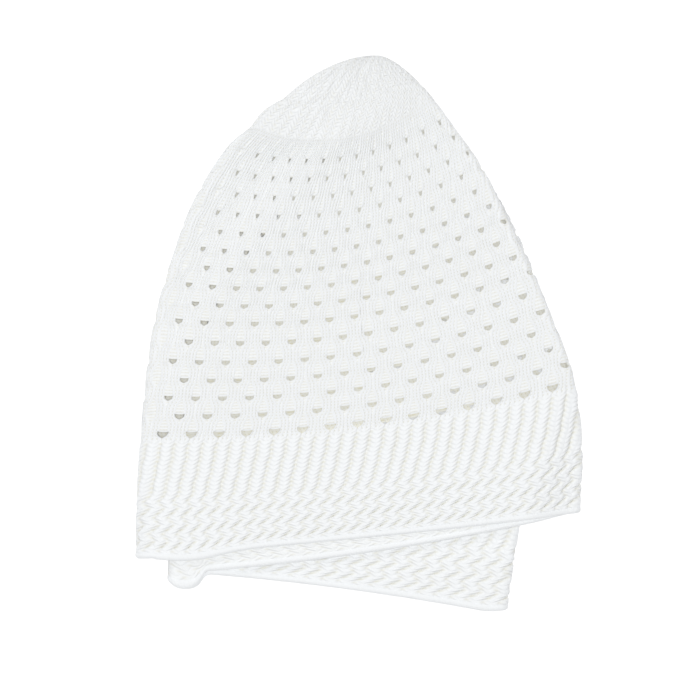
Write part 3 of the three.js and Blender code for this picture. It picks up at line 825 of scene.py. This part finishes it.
def lay_fabric(obj, stretch):
    """Gives flat fabric its thickness and relief, and lays it along the folds of the cap."""
    select_only(obj)
    thick = obj.modifiers.new("wall", "SOLIDIFY")
    thick.thickness = MM
    thick.offset = -1
    bpy.ops.object.modifier_apply(modifier=thick.name)
    mesh = obj.data
    closed = stretch == "crown"
    if closed:
        # The walls across the two side edges go, because those edges are joined.
        across = points_of(obj)[:, 0]
        ends = (np.abs(across - across.min()) < 1e-7) | (np.abs(across - across.max()) < 1e-7)
        starts = np.empty(len(mesh.polygons), int)
        mesh.polygons.foreach_get("loop_start", starts)
        delete_faces(obj, np.logical_and.reduceat(ends[corner_points(mesh)], starts), "ONLY_FACE")
    flat = points_of(obj) / MM
    column, depth = flat[:, 0] / COLUMN_PITCH, flat[:, 1]
    sink, number = pattern(column, depth, stretch)
    outer = flat[:, 2] > -0.5
    wall = wall_at(depth)
    bulge = SLACK * unevenness(column, depth) + NET_RISE * smooth((depth - BAND_DEPTH) / 12)
    thinner = NET_THINNER * smooth((depth - BAND_DEPTH) / 3)
    inside = -wall / 2 + thinner + INSIDE_RIBBING * sink
    height = np.where(outer, wall / 2 - sink + OUTER_LIFT, inside) + bulge
    wander = WANDER * unevenness(column + 9, depth * 2.3)
    points = lay(column + wander, depth, height) * MM
    if closed:
        for skin in (outer, ~outer):
            ring = skin & (depth > depth.max() - 1e-3)
            points[ring] = points[ring].mean(axis=0)
    points[:, 2] = np.maximum(points[:, 2], 0)
    set_points(obj, points)

    if closed:
        # The crown's wales fan out from a point above the tip.
        reach = points[:, :2] / MM - CROWN_FAN
        far = np.linalg.norm(reach, axis=1)
        wobble = CROWN_WOBBLE * unevenness(column * 2, depth * 1.7)
        fan = np.arctan2(reach[:, 0], -reach[:, 1]) * CROWN_FAN_REACH / CROWN_WALE
        places = np.stack([fan + wobble, far / CROWN_COURSE + wobble], axis=-1)
    else:
        places = np.stack([number, depth / {"band": DASH_PITCH, "net": COURSE}[stretch]], axis=-1)
    # The colour takes painted shade in the hollows of the outside, by their depth, and evenly all over the
    # inside.
    outer_painted_shade = clamp(sink / DEEPEST_HOLLOW) * OUTER_PAINTED_SHADE[stretch]
    mark_yarn(mesh, places, np.where(outer, outer_painted_shade, INNER_PAINTED_SHADE[stretch]))


def finish_knit(obj, material, node):
    """Shades a piece smoothly, gives it its yarn, and lets it ride with the cap."""
    select_only(obj)
    bpy.ops.object.shade_smooth_by_angle(angle=math.radians(50))
    obj.data.materials.clear()
    obj.data.materials.append(material)
    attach(obj, BODY)
    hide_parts(node)


BODY = next(iter(frame["bodies"]))


def linear(code):
    """An sRGB hex colour as linear light."""
    parts = [int(code[i : i + 2], 16) / 255 for i in (1, 3, 5)]
    return (*[c / 12.92 if c <= 0.04045 else ((c + 0.055) / 1.055) ** 2.4 for c in parts], 1.0)


def add(tree, kind, links=None, **settings):
    """Adds a node with its settings and links; a link is a socket, a node's first output or a value."""
    made = tree.nodes.new(kind)
    for name, value in settings.items():
        setattr(made, name, value)
    for key, value in (links or {}).items():
        if isinstance(value, bpy.types.Node):
            value = value.outputs[0]
        if isinstance(value, bpy.types.NodeSocket):
            tree.links.new(value, made.inputs[key])
        else:
            made.inputs[key].default_value = value
    return made


BLEACHED_YARN = "#f7fafc"
# The olive colour painted into the yarn for shade: in the gaps between the yarns, in the hollows and over the
# inside.
YARN_PAINTED_SHADE = "#d0caa8"
LEG_SLOPE = 0.75
LEG_ROUNDNESS = 0.6
LEG_EDGE = 0.35
FUZZ_SCALE = 1500.0
UNEVEN_SCALE = 260.0
UNEVEN_SHADE = 0.16
VALLEY_SHARPNESS = 3.0
BEAT_SHARPNESS = 1.5


def knitted_cotton(name, stitch_depth, fuzz_depth, painted_gap_shade, painted_hollow_shade):
    """Bleached cotton yarn, matt and a little fuzzy, with the two legs of each stitch in relief, and painted
    shade between its yarns and in its hollows.
    """
    material = bpy.data.materials.new(name)
    material.use_nodes = True
    tree = material.node_tree
    tree.nodes.clear()
    stitches = add(tree, "ShaderNodeUVMap", uv_map="stitches")
    split = add(tree, "ShaderNodeSeparateXYZ", {0: stitches})
    wale, course = split.outputs[0], split.outputs[1]

    # The legs of a stitch lean apart from the middle of its wale, each round across its yarn.
    in_wale = add(tree, "ShaderNodeMath", {0: wale}, operation="FRACT")
    side = add(tree, "ShaderNodeMath", {0: in_wale, 1: 2.0, 2: -1.0}, operation="MULTIPLY_ADD")
    side = add(tree, "ShaderNodeMath", {0: side}, operation="ABSOLUTE")
    leg = add(tree, "ShaderNodeMath", {0: side, 1: -LEG_SLOPE, 2: course}, operation="MULTIPLY_ADD")
    leg = add(tree, "ShaderNodeMath", {0: leg, 1: math.pi}, operation="MULTIPLY")
    leg = add(tree, "ShaderNodeMath", {0: leg}, operation="SINE")
    leg = add(tree, "ShaderNodeMath", {0: leg}, operation="ABSOLUTE")
    leg = add(tree, "ShaderNodeMath", {0: leg, 1: LEG_ROUNDNESS}, operation="POWER")
    middle = add(tree, "ShaderNodeMath", {0: side, 1: 2.0, 2: -1.0}, operation="MULTIPLY_ADD")
    across = add(tree, "ShaderNodeMath", {0: middle, 1: middle}, operation="MULTIPLY")
    across = add(tree, "ShaderNodeMath", {0: 1.0, 1: across}, operation="SUBTRACT")
    across = add(tree, "ShaderNodeMath", {0: across, 1: 1 - LEG_EDGE, 2: LEG_EDGE}, operation="MULTIPLY_ADD")
    stitch = add(tree, "ShaderNodeMath", {0: leg, 1: across}, operation="MULTIPLY")

    place = add(tree, "ShaderNodeTexCoord").outputs["Object"]
    fuzz = add(
        tree, "ShaderNodeTexNoise", {"Vector": place, "Scale": FUZZ_SCALE, "Detail": 3.0, "Roughness": 0.6}
    )
    uneven = add(tree, "ShaderNodeTexNoise", {"Vector": place, "Scale": UNEVEN_SCALE, "Detail": 2.0})
    painted_shade_mask = add(tree, "ShaderNodeAttribute", attribute_name="painted_shade_mask").outputs["Fac"]
    raised = add(
        tree, "ShaderNodeBump", {"Strength": 1.0, "Distance": stitch_depth * MM, "Height": stitch}
    )
    raised = add(
        tree,
        "ShaderNodeBump",
        {"Strength": 1.0, "Distance": fuzz_depth * MM, "Height": fuzz, "Normal": raised},
    )

    # Painted shade in the gaps between the yarns: a dark dot at each course in each valley, and a bar across
    # each ladder.
    valley = add(tree, "ShaderNodeMath", {0: wale, 1: math.tau}, operation="MULTIPLY")
    valley = add(tree, "ShaderNodeMath", {0: valley}, operation="COSINE")
    valley = add(tree, "ShaderNodeMath", {0: valley, 1: 0.5, 2: 0.5}, operation="MULTIPLY_ADD")
    valley = add(tree, "ShaderNodeMath", {0: valley, 1: VALLEY_SHARPNESS}, operation="POWER")
    beat = add(tree, "ShaderNodeMath", {0: course, 1: math.tau}, operation="MULTIPLY")
    beat = add(tree, "ShaderNodeMath", {0: beat}, operation="COSINE")
    beat = add(tree, "ShaderNodeMath", {0: beat, 1: 0.5, 2: 0.5}, operation="MULTIPLY_ADD")
    beat = add(tree, "ShaderNodeMath", {0: beat, 1: BEAT_SHARPNESS}, operation="POWER")
    painted_gap_dots = add(tree, "ShaderNodeMath", {0: valley, 1: beat}, operation="MULTIPLY")
    painted_gap_dots = add(tree, "ShaderNodeMath", {0: painted_gap_dots, 1: painted_gap_shade}, operation="MULTIPLY")
    shade = add(
        tree, "ShaderNodeMath", {0: uneven, 1: UNEVEN_SHADE, 2: -UNEVEN_SHADE / 2}, operation="MULTIPLY_ADD"
    )
    shade = add(tree, "ShaderNodeMath", {0: shade, 1: painted_gap_dots}, operation="ADD")
    painted_shade_mask = add(tree, "ShaderNodeMath", {0: painted_shade_mask, 1: painted_hollow_shade}, operation="MULTIPLY")
    shade = add(tree, "ShaderNodeMath", {0: shade, 1: painted_shade_mask}, operation="ADD", use_clamp=True)

    # The yarn's colour is mixed towards the painted shade colour by the painted dots, by the painted shade of
    # the hollows and by a random unevenness of tone.
    # The colour sockets of this node share their names with others, so they are set by number.
    colour = add(
        tree,
        "ShaderNodeMix",
        {"Factor": shade, 6: linear(BLEACHED_YARN), 7: linear(YARN_PAINTED_SHADE)},
        data_type="RGBA",
    )
    shader = add(
        tree,
        "ShaderNodeBsdfPrincipled",
        {
            "Base Color": colour.outputs[2],
            "Roughness": 0.92,
            "IOR": 1.5,
            "Specular IOR Level": 0.25,
            "Sheen Weight": 0.2,
            "Sheen Roughness": 0.5,
            "Normal": raised,
        },
    )
    add(tree, "ShaderNodeOutputMaterial", {"Surface": shader})
    return material


# The ribbed band's yarn: plump stitches that catch the light on the ribs, and faint dots of painted shade
# between them.
ribbed = knitted_cotton("cotton_rib_knit", stitch_depth=0.26, fuzz_depth=0.1, painted_gap_shade=0.3, painted_hollow_shade=0.3)

# The net's yarn: finer stitches, with the clearest dots of painted shade between the wales, and an olive
# painted shade in the gaps and over the inside.
eyelet_knit = knitted_cotton(
    "cotton_eyelet_knit", stitch_depth=0.17, fuzz_depth=0.07, painted_gap_shade=0.5, painted_hollow_shade=0.5
)

# The crown's yarn: the plainest and fuzziest, so that the crown reads as a soft close cloth.
plain_knit = knitted_cotton(
    "cotton_plain_knit", stitch_depth=0.3, fuzz_depth=0.16, painted_gap_shade=0.3, painted_hollow_shade=0.45
)

# The rolled edge's yarn: nearly smooth, so that the hem reads as a clean white line.
rolled_knit = knitted_cotton(
    "cotton_rolled_edge", stitch_depth=0.1, fuzz_depth=0.06, painted_gap_shade=0.05, painted_hollow_shade=0.45
)


# The pieces. The front is the finest, because it shows.
NET_LINE = EYELET_ROW_PITCH / 11
NET_FROM = FIRST_EYELET_ROW - 4 * NET_LINE
NET_ROWS = 182
NET_TO = NET_FROM + NET_ROWS * NET_LINE
BAND_FROM = 2.2
FINE_EYELET = (2, 3, 4)
PLAIN_EYELET = (1, 1)

# The last column of the hidden layers whose eyelets are cut.
LAST_OPEN_COLUMN = 38.6


def net_piece(name, columns, per_column=24, per_row=11, widths=FINE_EYELET, line=2, last_column=COLUMNS):
    """A stretch of the net between two columns, with its eyelets cut."""
    rows = round((NET_TO - NET_FROM) * per_row / EYELET_ROW_PITCH)
    depths = (NET_FROM, NET_FROM + rows * EYELET_ROW_PITCH / per_row)
    obj = flat_fabric(name, columns, depths, per_column, rows)
    cut_eyelets(obj, per_column, per_row, widths, line, last_column)
    lay_fabric(obj, "net")
    finish_knit(obj, eyelet_knit, "eyelet_net")
    return obj


def band_piece(name, columns, per_column, rows):
    """A stretch of the band between two columns."""
    obj = flat_fabric(name, columns, (BAND_FROM, NET_FROM), per_column, rows)
    lay_fabric(obj, "band")
    finish_knit(obj, ribbed, "zigzag_band")
    return obj


# The columns at the net's front edges and the seam between them, and at the band's front edges.
FRONT = (-7.25, 2.25, 11.25)
BAND_EDGE = (-5.75, 11.75)
net_left = net_piece("net_front_left", FRONT[:2])
net_right = net_piece("net_front_right", FRONT[1:])
net_tuck = net_piece(
    "net_tuck_and_back",
    (FRONT[2], FRONT[0] + COLUMNS),
    per_column=8,
    widths=PLAIN_EYELET,
    line=1,
    last_column=LAST_OPEN_COLUMN,
)
band_front = band_piece("band_front", BAND_EDGE, 24, 66)
band_tuck = band_piece("band_tuck_and_back", (BAND_EDGE[1], BAND_EDGE[0] + COLUMNS), 20, 60)

# The crown ends just short of its middle, where its top edge is drawn together.
CROWN_TO = KNIT_DEPTH - 0.4
CROWN_SEAM = -6.5
crown = flat_fabric("crown_knit", (CROWN_SEAM, CROWN_SEAM + COLUMNS), (NET_TO, CROWN_TO), 8, 70)
lay_fabric(crown, "crown")


def close_crown(obj):
    """Joins the crown's two side edges, and draws its top edges together at the middle."""
    select_only(obj)
    bpy.ops.object.mode_set(mode="EDIT")
    bpy.ops.mesh.select_all(action="SELECT")
    bpy.ops.mesh.remove_doubles(threshold=1e-6)
    bpy.ops.mesh.delete_loose(use_verts=True, use_edges=True, use_faces=False)
    bpy.ops.object.mode_set(mode="OBJECT")


close_crown(crown)
finish_knit(crown, plain_knit, "crown")


# The rolled edge of the hem: an oval cord all round the lowest course.
HEM_STEPS = 12
HEM_SIDES = 14
HEM_MIDDLE = 1.35
HEM_HALF_HEIGHT = 1.35
HEM_HALF_WIDTH = 1.3


def hem_roll():
    """Rolls a flat strip into the cord, lays it round the hem, and joins its edges and ends."""
    strip = flat_fabric("hem_roll", (0, COLUMNS), (0, 1), HEM_STEPS, HEM_SIDES)
    flat = points_of(strip) / MM
    column, turn = flat[:, 0] / COLUMN_PITCH, flat[:, 1]
    height = HEM_HALF_WIDTH * np.cos(math.tau * turn)
    depth = HEM_MIDDLE - HEM_HALF_HEIGHT * np.sin(math.tau * turn)
    points = lay(column, np.maximum(depth, 0), height)
    low = lay(column, 0 * depth, height)
    high = lay(column, 0 * depth + 1, height)
    points += (low - high) * np.maximum(-depth, 0)[:, None]
    points[:, 2] = np.maximum(points[:, 2], 0)
    set_points(strip, points * MM)
    places = np.stack([WALES * column, depth / COURSE], axis=-1)
    mark_yarn(strip.data, places, np.zeros(len(points)))
    select_only(strip)
    bpy.ops.object.mode_set(mode="EDIT")
    bpy.ops.mesh.select_all(action="SELECT")
    bpy.ops.mesh.remove_doubles(threshold=2e-6)
    bpy.ops.mesh.normals_make_consistent(inside=False)
    bpy.ops.object.mode_set(mode="OBJECT")
    return strip


hem = hem_roll()
finish_knit(hem, rolled_knit, "hem_edge")


# The table, the light and the camera.
bpy.ops.object.select_all(action="DESELECT")
bpy.ops.mesh.primitive_plane_add(size=6, location=(0, 0, -0.0002))
floor = bpy.context.active_object
floor.name = "table_top"
# Matt paper that glows a little, so that it reads as plain white and keeps only a faint shadow.
white = bpy.data.materials.new("white_paper")
white.use_nodes = True
paper = white.node_tree.nodes["Principled BSDF"]
paper.inputs["Base Color"].default_value = linear("#fbfbfb")
paper.inputs["Roughness"].default_value = 0.9
paper.inputs["Emission Color"].default_value = linear("#ffffff")
paper.inputs["Emission Strength"].default_value = 0.3
floor.data.materials.append(white)

world = bpy.data.worlds.new("studio")
bpy.context.scene.world = world
world.use_nodes = True
world.node_tree.nodes["Background"].inputs[0].default_value = linear("#fcfdff")
world.node_tree.nodes["Background"].inputs[1].default_value = 0.22


def soft_light(name, place, size, power):
    """A square light that faces the middle of the cap."""
    bpy.ops.object.light_add(type="AREA", location=place)
    lamp = bpy.context.active_object
    lamp.name = name
    lamp.data.size = size
    lamp.data.energy = power
    lamp.rotation_euler = (-Vector(place)).to_track_quat("-Z", "Y").to_euler()


soft_light("overhead_softbox", (-0.003, -0.003, 0.98), size=0.1, power=6.25)
soft_light("key_light", (-0.7, 0.75, 0.9), size=0.5, power=3.2)

FRAME_WIDTH = 0.24203
LENS = 135.0
SENSOR = 36
CAP_MIDDLE = (-0.0031, -0.0052, 0.008)
camera_data = bpy.data.cameras.new("camera")
camera = bpy.data.objects.new("camera", camera_data)
bpy.context.scene.collection.objects.link(camera)
camera_data.lens = LENS
camera_data.sensor_width = SENSOR
camera.location = (CAP_MIDDLE[0], CAP_MIDDLE[1], CAP_MIDDLE[2] + FRAME_WIDTH * LENS / SENSOR)
camera.rotation_euler = (0, 0, 0)
camera_data.clip_start = 0.01
bpy.context.scene.camera = camera
bpy.context.scene.view_settings.view_transform = "Standard"
bpy.context.scene.view_settings.gamma = 1.5
